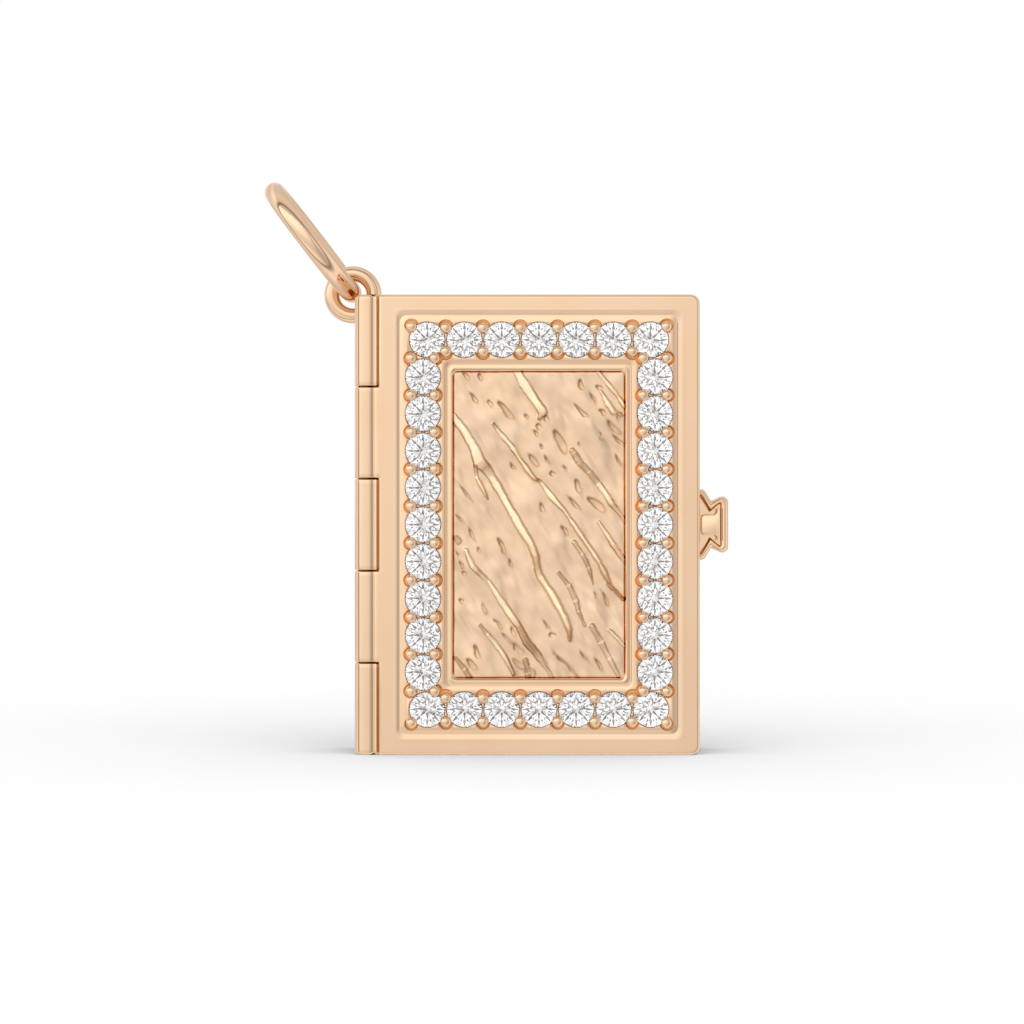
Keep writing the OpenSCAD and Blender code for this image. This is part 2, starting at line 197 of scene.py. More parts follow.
def copyTo(piece, x, z):
    # a copy with its own mesh, moved by x and z
    twin = piece.copy()
    twin.data = piece.data.copy()
    twin.data.transform(Matrix.Translation((x * mm, 0, z * mm)))
    bpy.context.collection.objects.link(twin)
    return twin


def joinAll(name, parts):
    letGo()
    for part in parts:
        part.select_set(True)
    bpy.context.view_layer.objects.active = parts[0]
    bpy.ops.object.join()
    parts[0].name = parts[0].data.name = name
    return parts[0]


def repeatAt(name, piece, places):
    # copies a piece to each place and joins the copies
    return joinAll(name, [copyTo(piece, x, z) for x, z in places])


def polish(piece):
    # smooth shading between soft edges, with flat faces kept flat
    take(piece)
    bpy.ops.object.shade_smooth_by_angle(angle=math.radians(softAngle))
    applyStep(piece, "WEIGHTED_NORMAL", keep_sharp=True, weight=50)
    return piece


# Camera: level, looking straight at the front cover

camera = {"place": (-0.996, -101.15, 8.967), "lens": 95.27, "sensor": 36}

bpy.ops.object.camera_add(location=[v * mm for v in camera["place"]], rotation=(math.pi / 2, 0, 0))
cameraObject = bpy.context.active_object
cameraObject.data.lens = camera["lens"]
cameraObject.data.sensor_width = camera["sensor"]
cameraObject.data.clip_start = 1 * mm
cameraObject.data.clip_end = 10
bpy.context.scene.camera = cameraObject
print("camera set")


# Colour and node helpers

def fromHex(text):
    # sRGB hex to a linear colour
    parts = [int(text[i:i + 2], 16) / 255 for i in (1, 3, 5)]
    return [c / 12.92 if c <= 0.04045 else ((c + 0.055) / 1.055) ** 2.4 for c in parts] + [1]


def addNode(tree, kind, inputs=None, stops=(), **settings):
    # a node with its settings: an input given a socket is linked to it, any other is set, and
    # stops are a colour ramp's places and colours
    node = tree.nodes.new(kind)
    for key, value in settings.items():
        setattr(node, key, value)
    for key, source in (inputs or {}).items():
        if isinstance(source, bpy.types.NodeSocket):
            tree.links.new(source, node.inputs[key])
        else:
            node.inputs[key].default_value = source
    if stops:
        elements = node.color_ramp.elements
        while len(elements) < len(stops):
            elements.new(0.5)
        for element, (place, colour) in zip(elements, stops):
            element.position = place
            element.color = colour
    return node


def newMaterial(name):
    material = bpy.data.materials.new(name)
    material.use_nodes = True
    material.node_tree.nodes.clear()
    return material, material.node_tree


# Studio: a white tent open to a large bright panel in front, which the polished gold shows.
# Directions are counted as slopes: a surface that faces the front shows 0, 0, and one that
# leans to the right or upwards by a slope shows the tent at that slope.

studio = {
    # edge of the bright panel: middle and reach, to the right and upwards
    "middle": (-0.28, 0.03), "reach": (0.8, 0.6),
    "edge": (0.93, 1.0),  # where the panel ends, as a share of its reach
    "warmth": "#FFF4E9",  # the colour of all that the gold shows
    # share of brightness by slope to the right and by slope upwards
    "right": [(-1.2, 1.1), (-0.7, 1.18), (-0.3, 1.15), (-0.15, 1.09), (-0.05, 1.03), (0.0, 1.0),
              (0.04, 0.95), (0.09, 0.86), (0.16, 0.72), (0.24, 0.58), (0.29, 0.62), (0.33, 0.73),
              (0.42, 0.75), (0.5, 0.85), (1.2, 1.0)],
    "up": [(-1.2, 0.95), (-0.5, 0.95), (-0.36, 0.9), (-0.26, 0.77), (-0.16, 0.79), (-0.1, 0.86),
           (-0.04, 0.93), (0.0, 1.0), (0.05, 1.08), (0.12, 1.22), (0.25, 1.3), (0.38, 1.28),
           (0.47, 0.62), (1.2, 0.62)],
    "least": 0.56, "most": 1.45,  # and the limits of the two together
    # brightness beyond the panel by distance from its middle, where 1 is the edge itself
    "around": [(0.9, 0.34), (1.06, 0.35), (1.14, 0.66), (1.26, 1.06), (1.7, 1.16), (2.6, 0.96),
               (4.0, 0.9)],
    # its share up to the right and down to the left, by the product of the two slopes
    "diagonal": [(0.05, 1.0), (0.45, 0.8), (3.0, 0.8), (9.0, 0.95)],
    # and its share by slope upwards and to the right: darker high up, low down and far round
    "above": [(-3.0, 0.85), (-1.4, 0.82), (-0.9, 1.0), (0.4, 1.0), (0.5, 0.72), (2.0, 0.84), (6.0, 0.9)],
    "leftCorner": [(-0.9, 1.0), (-0.3, 0.0)],  # but not above to the left
    "beside": [(-6.0, 1.0), (-3.5, 1.0), (-2.2, 0.85), (-1.5, 0.85), (-1.3, 1.0), (1.0, 1.0),
               (1.6, 0.82), (6.0, 0.85)],
    # the tent through the stones: a dark head straight in front, then bright, and a dark edge
    "throughAxis": [(0.0, 0.1), (0.12, 0.12), (0.16, 1.3), (0.3, 1.35), (0.36, 0.88), (0.44, 0.88),
                    (0.49, 1.4), (1.0, 1.45), (2.0, 1.2)],
    "throughEdge": [(0.8, 1.0), (0.86, 0.15), (1.08, 0.15), (1.14, 1.0), (4.0, 1.0)],
    # light on the paper: its level, and how much more of it comes from behind than from in front
    "diffuse": 1.0, "fromBehind": -0.9,
}

# How the light from each direction is worked out: a result's name, a math operation or other
# step, and what it takes, which are numbers, earlier results or the name of a table in studio
skySteps = [
    # slope to the right and upwards, and how steep it is in all
    ("away", "SUBTRACT", 1.0, "Y"),
    ("spread", "MAXIMUM", "away", 0.02),
    ("toRight", "DIVIDE", "X", "spread"),
    ("toTop", "DIVIDE", "Z", "spread"),
    ("square", "MULTIPLY", "toTop", "toTop"),
    ("square", "MULTIPLY_ADD", "toRight", "toRight", "square"),
    ("steepness", "SQRT", "square"),
    # distance from the panel's middle
    ("offX", "SUBTRACT", "toRight", studio["middle"][0]),
    ("offX", "DIVIDE", "offX", studio["reach"][0]),
    ("offZ", "SUBTRACT", "toTop", studio["middle"][1]),
    ("offZ", "DIVIDE", "offZ", studio["reach"][1]),
    ("offZ", "MULTIPLY", "offZ", "offZ"),
    ("off", "MULTIPLY_ADD", "offX", "offX", "offZ"),
    ("fromMiddle", "SQRT", "off"),
    # the panel, the tent beyond it, and the soft edge between them
    ("byRight", "ramp", "toRight", "right"),
    ("byTop", "ramp", "toTop", "up"),
    ("panel", "MULTIPLY", "byRight", "byTop"),
    ("panel", "MAXIMUM", "panel", studio["least"]),
    ("panel", "MINIMUM", "panel", studio["most"]),
    ("product", "MULTIPLY", "toRight", "toTop"),
    ("byDiagonal", "ramp", "product", "diagonal"),
    ("bySide", "ramp", "toRight", "beside"),
    ("byHeight", "ramp", "toTop", "above"),
    ("inCorner", "ramp", "toRight", "leftCorner"),
    ("byHeight", "MAXIMUM", "byHeight", "inCorner"),
    ("dim", "MINIMUM", "byDiagonal", "bySide"),
    ("dim", "MINIMUM", "dim", "byHeight"),
    ("beyond", "ramp", "fromMiddle", "around"),
    ("beyond", "MULTIPLY", "beyond", "dim"),
    ("outside", "smooth", "fromMiddle", *studio["edge"]),
    ("mirrored", "mix", "outside", "panel", "beyond"),
    # what the stones show, what falls on the paper, and plain white for the camera
    ("headOn", "ramp", "steepness", "throughAxis"),
    ("darkEdge", "ramp", "fromMiddle", "throughEdge"),
    ("through", "MULTIPLY", "headOn", "darkEdge"),
    ("shiny", "mix", "Is Transmission Ray", "mirrored", "through"),
    ("onPaper", "MULTIPLY_ADD", "Y", studio["fromBehind"], studio["diffuse"]),
    ("onPaper", "MAXIMUM", "onPaper", 0.02),
    ("unseen", "mix", "Is Diffuse Ray", "shiny", "onPaper"),
    ("shown", "mix", "Is Camera Ray", "unseen", 1.0),
    ("inGold", "GREATER_THAN", "Is Glossy Ray", "Is Transmission Ray"),
]

world = bpy.data.worlds.new("studio")
bpy.context.scene.world = world
world.use_nodes = True
sky = world.node_tree
sky.nodes.clear()
direction = addNode(sky, "ShaderNodeTexCoord").outputs["Generated"]
found = dict(addNode(sky, "ShaderNodeSeparateXYZ", {0: direction}).outputs.items())
found.update(addNode(sky, "ShaderNodeLightPath").outputs.items())
for name, step, *terms in skySteps:
    inputs = [found.get(term, term) for term in terms]
    if step == "ramp":
        # a colour ramp runs from 0 to 1 and holds no more than 1, so its rows are scaled to that
        rows = studio[terms[1]]
        low, high, top = rows[0][0], rows[-1][0], max(value for place, value in rows)
        share = addNode(sky, "ShaderNodeMapRange", {"Value": inputs[0], "From Min": low, "From Max": high})
        ramp = addNode(sky, "ShaderNodeValToRGB", {"Fac": share.outputs[0]},
                       [((place - low) / (high - low), [value / top] * 3 + [1]) for place, value in rows])
        node = addNode(sky, "ShaderNodeMath", {0: ramp.outputs[0], 1: top}, operation="MULTIPLY")
    elif step == "smooth":
        node = addNode(sky, "ShaderNodeMapRange", dict(zip(("Value", "From Min", "From Max"), inputs)),
                       interpolation_type="SMOOTHSTEP")
    elif step == "mix":
        node = addNode(sky, "ShaderNodeMix", dict(zip(("Factor", "A", "B"), inputs)))
    else:
        node = addNode(sky, "ShaderNodeMath", dict(enumerate(inputs)), operation=step)
    found[name] = node.outputs[0]
tint = addNode(sky, "ShaderNodeMix", {"Factor": found["inGold"], "A": fromHex("#FFFFFF"),
                                      "B": fromHex(studio["warmth"])}, data_type="RGBA")
light = addNode(sky, "ShaderNodeBackground", {"Strength": found["shown"], "Color": tint.outputs["Result"]})
addNode(sky, "ShaderNodeOutputWorld", {"Surface": light.outputs[0]})

# one soft lamp high above, unseen in the gold and the stones
overhead = {"place": (0, -10, 120), "size": 160, "energy": 0.003}

bpy.ops.object.light_add(type="AREA", location=[v * mm for v in overhead["place"]])
lamp = bpy.context.active_object
lamp.name = "overhead"
lamp.data.size = overhead["size"] * mm
lamp.data.energy = overhead["energy"]
lamp.visible_glossy = False
lamp.visible_transmission = False

letGo()
bpy.ops.mesh.primitive_plane_add(size=6)
floor = settle("floor")
floor.visible_glossy = False
floor.visible_transmission = False
paper, tree = newMaterial("whiteSweep")  # matt white paper: no gloss, a soft shadow only
matt = addNode(tree, "ShaderNodeBsdfPrincipled",
               {"Base Color": fromHex("#FFFFFF"), "Roughness": 1, "Specular IOR Level": 0})
addNode(tree, "ShaderNodeOutputMaterial", {"Surface": matt.outputs[0]})
floor.data.materials.append(paper)
bpy.context.scene.view_settings.view_transform = "Standard"
bpy.context.scene.cycles.max_bounces = 16
bpy.context.scene.cycles.glossy_bounces = 12  # gold shows gold in the narrow gaps
bpy.context.scene.cycles.caustics_reflective = False  # the gold throws no warm light on the paper
print("studio set")


# Finishes

wipeDepth = 0.004  # of the marks that polishing leaves, in mm


def makeGold(name, finish):
    material, tree = newMaterial(name)
    place = addNode(tree, "ShaderNodeTexCoord").outputs["Object"]
    cloud = addNode(tree, "ShaderNodeTexNoise",
                    {"Vector": place, "Scale": 1 / (finish["cloudMm"] * mm), "Detail": 2})
    colour = addNode(tree, "ShaderNodeValToRGB", {"Fac": cloud.outputs["Fac"]},
                     [(0.35, fromHex(finish["deep"])), (0.65, fromHex(finish["bright"]))]).outputs["Color"]
    wipe = addNode(tree, "ShaderNodeTexNoise",
                   {"Vector": place, "Scale": 1 / (finish["wipeMm"] * mm), "Detail": 3})
    rough = addNode(tree, "ShaderNodeMapRange",
                    {"Value": wipe.outputs["Fac"], "From Min": 0.3, "From Max": 0.7,
                     "To Min": finish["roughness"] * 0.8, "To Max": finish["roughness"] * 1.25})
    bump = addNode(tree, "ShaderNodeBump", {"Height": wipe.outputs["Fac"], "Strength": finish["bump"],
                                            "Distance": wipeDepth * mm})
    if "wornAndShaded" in finish:
        # high places are burnished and pale; the rest is painted shade and painted highlight: darker rims
        # round veins and pits, darker runs where a vein falls, and pit floors shaded lighter towards one end
        wornAndShaded = addNode(tree, "ShaderNodeAttribute", attribute_name="burnishAndShade")
        share = addNode(tree, "ShaderNodeValToRGB", {"Fac": wornAndShaded.outputs["Fac"]},
                        [(place, fromHex(shade)) for place, shade in finish["wornAndShaded"]])
        colour = addNode(tree, "ShaderNodeMix", {"A": colour, "B": share.outputs["Color"], "Factor": 1.0},
                         data_type="RGBA", blend_type="MULTIPLY").outputs["Result"]
    shader = addNode(tree, "ShaderNodeBsdfPrincipled",
                     {"Base Color": colour, "Roughness": rough.outputs[0], "Normal": bump.outputs[0],
                      "Metallic": 1})
    addNode(tree, "ShaderNodeOutputMaterial", {"Surface": shader.outputs[0]})
    return material


# 14 karat rose gold, cast and then polished on a felt wheel: bright, with hardly any blur
polishedGold = makeGold("polishedRoseGold", {
    "bright": "#F1D8BD", "deep": "#EFD3B7", "cloudMm": 3.0, "wipeMm": 0.35,
    "roughness": 0.045, "bump": 0.1})
# the same gold with its cast bark left on: ridges burnished bright, and painted shade darkens the hollows,
# the rims and the falling runs of the veins
barkGold = makeGold("burnishedAndShadedBarkGold", {
    "bright": "#FFFFFF", "deep": "#FAF7F3", "cloudMm": 0.9, "wipeMm": 0.12,
    "roughness": 0.08, "bump": 0.2,
    "wornAndShaded": [(0.0, "#B4957B"), (0.25, "#DEBF9F"), (0.5, "#F3DBC2"), (0.75, "#FAEACF"), (1.0, "#FEFBDD")]})
# drawn gold wire, left dull, with painted shade: its dark colour stands for the shade in the gaps between the
# knuckles, where the pin shows
pinGold = makeGold("shadedGoldPin", {
    "bright": "#6E432A", "deep": "#55311D", "cloudMm": 0.6, "wipeMm": 0.1,
    "roughness": 0.22, "bump": 0.2})


def makeDiamond(name, stone):
    # cut and polished diamond: near colourless, with its facets from the mesh
    material, tree = newMaterial(name)
    place = addNode(tree, "ShaderNodeTexCoord").outputs["Object"]
    cloud = addNode(tree, "ShaderNodeTexNoise",
                    {"Vector": place, "Scale": 1 / (stone["cloudMm"] * mm), "Detail": 1})
    colour = addNode(tree, "ShaderNodeValToRGB", {"Fac": cloud.outputs["Fac"]},
                     [(0.4, fromHex(stone["tint"])), (0.6, fromHex(stone["clear"]))])
    shader = addNode(tree, "ShaderNodeBsdfPrincipled",
                     {"Base Color": colour.outputs["Color"], "Metallic": 0, "Roughness": 0.0,
                      "IOR": stone["ior"], "Transmission Weight": 1})
    addNode(tree, "ShaderNodeOutputMaterial", {"Surface": shader.outputs[0]})
    return material


diamond = makeDiamond("cutDiamond", {"clear": "#FBFDFF", "tint": "#F2F5F9", "cloudMm": 1.1, "ior": 2.417})
print("finishes made")


def dress(piece, material, body):
    piece.data.materials.clear()
    piece.data.materials.append(material)
    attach(piece, body)


# Where the stones and beads go, as x and z from the covers' middle

border = {
    "columnX": 4.28, "rowZ": 6.82, "rowStones": 7, "columnStones": 9, "cornerShift": 0.154,
    # beads: distance from the line of stones, place of the corner ones, and how far the grooves
    # of the columns' beads and of the corner ones are cut off centre, as a share of the rows'
    "beadOffset": 0.435, "cornerBead": (4.698, 7.303), "columnGroove": 0.7, "cornerGroove": 0.3,
}
columnX, rowZ = border["columnX"], border["rowZ"]
rowCount, columnCount = border["rowStones"], border["columnStones"]
rowPitch = 2 * (columnX - border["cornerShift"]) / (rowCount - 1)
columnPitch = 2 * rowZ / (columnCount + 1)
rowX = [(i - (rowCount - 1) / 2) * rowPitch for i in range(rowCount)]
columnZ = [rowZ - (i + 1) * columnPitch for i in range(columnCount)]
# every other stone, and then the rest, so that no seat meets its neighbour in one cut
seatGroups = [[(rowX[i], s * rowZ) for s in (1, -1) for i in range(first, rowCount, 2)]
              + [(s * columnX, columnZ[i]) for s in (1, -1) for i in range(1 - first, columnCount, 2)]
              for first in (0, 1)]
betweenX = [(i - rowCount / 2 + 1) * rowPitch for i in range(rowCount - 1)]
betweenZ = [rowZ - (i + 0.5) * columnPitch for i in range(columnCount + 1)]
beadSides = (border["beadOffset"], -border["beadOffset"])
# each bead: x, z, and the way that its groove is cut wider
rowBeads = [(x, s * (rowZ + t), 0, s * math.copysign(1, t))
            for s in (1, -1) for t in beadSides for x in betweenX]
columnBeads = [(s * (columnX + t), z, border["columnGroove"] * s * math.copysign(1, t), 0)
               for s in (1, -1) for t in beadSides for z in betweenZ]
cornerX, cornerZ = border["cornerBead"]
cornerBeads = [(sx * cornerX, sz * cornerZ, border["cornerGroove"] * sx, sz)
               for sx in (1, -1) for sz in (1, -1)]


# Front cover: plate, stone rail with its seats and beads, lip, knuckles and tab

relief = {
    # half width, half height, y: over the soft trough, the rail and the lip into the pocket
    "border": [(5.42, 8.01, -0.45), (5.42, 8.01, -1.149), (5.4, 7.99, -1.151), (5.35, 7.96, -1.151),
               (5.3, 7.935, -1.1505), (5.265, 7.915, -1.149), (5.25, 7.895, -1.146), (5.237, 7.873, -1.143),
               (5.215, 7.835, -1.137), (5.193, 7.8, -1.131), (5.172, 7.772, -1.126), (5.152, 7.742, -1.12),
               (5.14, 7.735, -1.119), (5.128, 7.722, -1.124), (5.115, 7.7, -1.132), (5.1, 7.68, -1.139),
               (5.07, 7.65, -1.149), (5.04, 7.62, -1.16), (5.01, 7.59, -1.17), (4.98, 7.56, -1.178),
               (4.94, 7.52, -1.184), (4.89, 7.47, -1.188), (4.84, 7.42, -1.19)],
    "slope": [(3.62, 6.19, -1.19), (3.57, 6.13, -1.188), (3.52, 6.075, -1.183), (3.48, 6.03, -1.174),
              (3.445, 5.992, -1.163), (3.422, 5.966, -1.152), (3.413, 5.958, -1.132), (3.408, 5.952, -1.129)],
    "lip": [(3.402, 5.945, -1.13), (3.395, 5.937, -1.15), (3.375, 5.912, -1.146), (3.35, 5.88, -1.147),
            (3.325, 5.855, -1.153), (3.3, 5.83, -1.161), (3.275, 5.807, -1.169), (3.258, 5.792, -1.173),
            (3.246, 5.778, -1.173), (3.236, 5.762, -1.167), (3.226, 5.743, -1.157), (3.217, 5.725, -1.147),
            (3.208, 5.707, -1.136), (3.2, 5.69, -1.122), (3.19, 5.68, -1.09), (3.163, 5.653, -0.97),
            (3.163, 5.653, -0.53)],
    "cornerR": 0.3,
    "cavity": [(5.4, 7.99, -1.4), (5.4, 7.99, -0.49)],  # cut from the plate before it is put in
}
seat = {
    # radius, y of the room for one stone, from above the rail to its point
    "rows": [(0.74, -1.26), (0.71, -1.2), (0.685, -1.188), (0.664, -1.176), (0.656, -1.165),
             (0.01, -0.53)],
    "sides": 48,
}
bead = {
    "radius": 0.213, "domeY": -1.252, "foot": -1.02, "fullness": 0.86,  # 1 is a half ball, less is flatter
    # radius and depth of the pocket cut beside each bead, and how far it is cut off centre
    "pocket": [(0.3, -0.02), (0.284, -0.003), (0.274, 0.003), (0.267, 0.009), (0.254, 0.018), (0.243, 0.029),
               (0.232, 0.055), (0.22, 0.09), (0.2, 0.13), (0.17, 0.15), (0.01, 0.16)],
    "pocketShift": 0.062, "sides": 32,
}
cover = {
    "low": (-5.94, frontY, 0), "high": (5.94, -0.03, coverH), "cornerR": 0.33,
    "edges": [(frontY, 0.12, 4), (-0.03, 0.05, 3)],  # y, radius, segments
    "recess": (4.64, 7.3, 0.2), "recessR": 0.4,  # half width, half height, depth
}
hinge = {
    "left": -6.83, "right": -5.99, "fixedBack": 0.13, "movingBack": -0.05,
    "rootX": -5.74,  # how far the moving knuckles reach into the plate
    "pinX": -6.41, "pinY": -0.6, "boreR": 0.22, "swingR": 0.625, "coreR": 0.613,
    "fixed": (0, 2, 4), "moving": (1, 3), "pitch": 3.4, "gap": 0.06,
    # rolled sides, as the distance in from the side and the depth below the face
    "leftRoll": [(0.0, 0.53), (0.012, 0.43), (0.035, 0.32), (0.07, 0.22), (0.108, 0.156), (0.13, 0.127),
                 (0.155, 0.099), (0.18, 0.072), (0.203, 0.048), (0.216, 0.037), (0.238, 0.027),
                 (0.27, 0.018), (0.32, 0.01), (0.38, 0.004), (0.45, 0.0)],
    # back edge of the moving knuckles, as the distance in from the side and before the back
    "backRoll": [(0.25, 0.0), (0.07, 0.07), (0.0, 0.25)],
    "endR": 0.035, "shoulderR": 0.12, "ringFromEnd": 0.2,
    # dip along all knuckles, and how it runs out into the plate or to a fixed knuckle's edge: x and depth
    "dip": [(-6.26, 0.0), (-6.22, 0.006), (-6.18, 0.022), (-6.15, 0.044), (-6.12, 0.058), (-6.095, 0.056),
            (-6.07, 0.036), (-6.045, 0.016)],
    "intoPlate": [(-6.015, 0.004), (-5.98, 0.0)],
    "toEdge": [(-6.02, 0.008), (-6.005, 0.011), (-5.996, 0.02), (-5.99, 0.04)],
    "cutX": (-6.73, -5.6), "cutR": 0.28, "cutFlat": 0.2,  # the flat, pointed saw cut behind each gap
}


def addReliefBody():
    # rail and lip as one body, with the pocket for the panel
    body = addFramed("relief", relief["cornerR"], relief["border"] + relief["slope"] + relief["lip"])
    cutter = addTurned("seat", seat["rows"], seat["sides"])
    for places in seatGroups:
        combine(body, repeatAt("seats", cutter, places), "DIFFERENCE")
    bpy.data.objects.remove(cutter)
    top = relief["border"][-1][2]
    pocket = addTurned("pocket", [(r, top + depth) for r, depth in bead["pocket"]], bead["sides"])
    shift = bead["pocketShift"]
    for beads in (rowBeads[::2] + cornerBeads, rowBeads[1::2], columnBeads[::2], columnBeads[1::2]):
        combine(body, repeatAt("pockets", pocket, [(x + shift * u, z + shift * v) for x, z, u, v in beads]),
                "DIFFERENCE")
    bpy.data.objects.remove(pocket)
    radius, domeY, full = bead["radius"], bead["domeY"], bead["fullness"]
    dome = [(radius * 0.98, bead["foot"]), (radius, domeY)]
    dome += [(radius * math.cos(a) ** full, domeY - radius * math.sin(a) ** full)
             for a in (math.radians(9 * k) for k in range(1, 10))]
    dome += [(0.004, domeY - radius)]
    one = addTurned("bead", dome, bead["sides"])
    allBeads = [(x, z) for x, z, u, v in rowBeads + columnBeads + cornerBeads]
    combine(body, repeatAt("beads", one, allBeads), "UNION")
    bpy.data.objects.remove(one)
    return body


def knuckleSpan(i):
    low = i * hinge["pitch"] + (0 if i == 0 else hinge["gap"] / 2)
    high = (i + 1) * hinge["pitch"] - (0 if i == hinge["fixed"][-1] else hinge["gap"] / 2)
    return low, high


def knuckleFront(end):
    # a knuckle's rolled side and dip seen from above, up to its end at the plate
    return ([(hinge["left"] + x, frontY + depth) for x, depth in hinge["leftRoll"]]
            + [(x, frontY + depth) for x, depth in hinge["dip"] + hinge[end]])


def addPinRod(name, radius, low, high, sides):
    # a rod on the line of the hinge pin
    x, y = hinge["pinX"], hinge["pinY"]
    return addRod(name, radius, (x, y, low), (x, y, high), sides)


def addBar(outline, low, high):
    # a knuckle with a ring near each end, which keeps the long faces' shading straight
    ring = hinge["ringFromEnd"]
    return addDrawn("knuckle", list(reversed(outline)), "z", low, (ring, high - low - 2 * ring, ring))


def addMovingKnuckle(i):
    low, high = knuckleSpan(i)
    rootX, back = hinge["rootX"], hinge["movingBack"]
    outline = knuckleFront("intoPlate") + [(rootX, frontY), (rootX, back)]
    outline += [(hinge["left"] + x, back - before) for x, before in hinge["backRoll"]]
    knuckle = addBar(outline, low, high)
    roundEdges(knuckle, hinge["endR"], 3, lambda a, b: at(a.z, b.z) and max(a.x, b.x) < rootX - 0.05)
    return knuckle


def addFixedKnuckle(i):
    low, high = knuckleSpan(i)
    core, back = hinge["coreR"], hinge["fixedBack"]
    half = math.acos((hinge["right"] - hinge["pinX"]) / core)
    outline = knuckleFront("toEdge")
    outline += [(hinge["pinX"] + core * math.cos(a), hinge["pinY"] + core * math.sin(a))
                for a in (-half * (1 - k / 5) for k in range(11))]
    outline += [(hinge["right"], back), (hinge["left"], back)]
    knuckle = addBar(outline, low, high)
    for end in (low, high):
        radius = hinge["shoulderR"] if end in (0, coverH) else hinge["endR"]
        roundEdges(knuckle, radius, 4,
                   lambda a, b: at(a.z, end) and at(b.z, end) and min(a.y, b.y) < back - 0.01)
    return knuckle


def bothHalves(half):
    # an upper half outline and its mirror below the covers' middle
    return [(x, midZ + z) for x, z in half] + [(x, midZ - z) for x, z in reversed(half)]


tab = {
    # x and half height where the stem leaves the cover, and radius of its turn into the tail
    "start": [(5.99, 0.25), (6.03, 0.33), (6.12, 0.38)], "turnR": 0.12,
    "tailX": 6.715, "tailHalf": 0.6, "tailWide": 0.12, "frontY": -0.82, "backY": -0.2,
    "roll": 0.055, "rollDepth": 0.9,  # width of the rolled edge, and how many times deeper it is
    "neckX": (5.74, 6.24), "neckY": (-0.62, -0.25), "neckHalf": 0.31,
}


def addTab():
    tailX, r, stemHalf = tab["tailX"] - tab["tailWide"], tab["turnR"], tab["start"][-1][1]
    half = tab["start"] + [(tailX - r + r * math.sin(a), stemHalf + r - r * math.cos(a))
                           for a in (math.radians(20 * k) for k in range(5))]
    half += [(tailX, tab["tailHalf"]), (tab["tailX"], tab["tailHalf"])]
    # drawn deeper than it is, bevelled, and then pressed to its depth, which leaves the edge shallow
    front = tab["backY"] - (tab["backY"] - tab["frontY"]) / tab["rollDepth"]
    stem = addDrawn("tab", bothHalves(half), "y", front, [tab["backY"] - front])
    roundEdges(stem, tab["roll"], 4, lambda a, b: at(a.y, b.y) and at(a.y, front), 0.35)
    take(stem)
    openUp()
    bpy.ops.transform.resize(value=(1, tab["rollDepth"], 1), center_override=(0, tab["backY"] * mm, 0))
    letGo()
    (x0, x1), (y0, y1), half = tab["neckX"], tab["neckY"], tab["neckHalf"]
    return combine(stem, addBox("neck", (x0, y0, midZ - half), (x1, y1, midZ + half)), "UNION")


def addPlate(name, shape):
    # a cover's plate: round corners on the clasp side, then round front and back edges
    x1 = shape["high"][0]
    plate = addBox(name, shape["low"], shape["high"])
    roundEdges(plate, shape["cornerR"], 8, lambda a, b: at(a.x, x1) and at(b.x, x1) and at(a.z, b.z))
    for y, radius, segments in shape["edges"]:
        roundEdges(plate, radius, segments, lambda a, b: at(a.y, y) and at(b.y, y))
    return plate


def makeFrontCover():
    plate = addPlate("frontCover", cover)
    combine(plate, addFramed("cavity", relief["cornerR"], relief["cavity"]), "DIFFERENCE")
    combine(plate, addReliefBody(), "UNION")
    print("rail, beads and lip made")
    for i in hinge["moving"]:
        combine(plate, addMovingKnuckle(i), "UNION")
    for i in hinge["fixed"]:
        # room for the fixed knuckle, open beyond both ends of the hinge
        low, high = knuckleSpan(i)
        low = -1 if i == hinge["fixed"][0] else low - hinge["gap"]
        high = coverH + 1 if i == hinge["fixed"][-1] else high + hinge["gap"]
        combine(plate, addPinRod("room", hinge["swingR"], low, high, 64), "DIFFERENCE")
    combine(plate, addTab(), "UNION")
    combine(plate, addPinRod("bore", hinge["boreR"], -1, coverH + 1, 32), "DIFFERENCE")
    w, h, depth = cover["recess"]
    rows = [(w, h, cover["high"][1] - depth), (w, h, 1)]
    combine(plate, addFramed("recess", cover["recessR"], rows), "DIFFERENCE")
    polish(plate)
    dress(plate, polishedGold, "front")
    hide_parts("front_cover")
    print("front cover made,", len(plate.data.polygons), "faces")


makeFrontCover()


# Back cover: tray, fixed knuckles, keeper loop and the small soldered ring

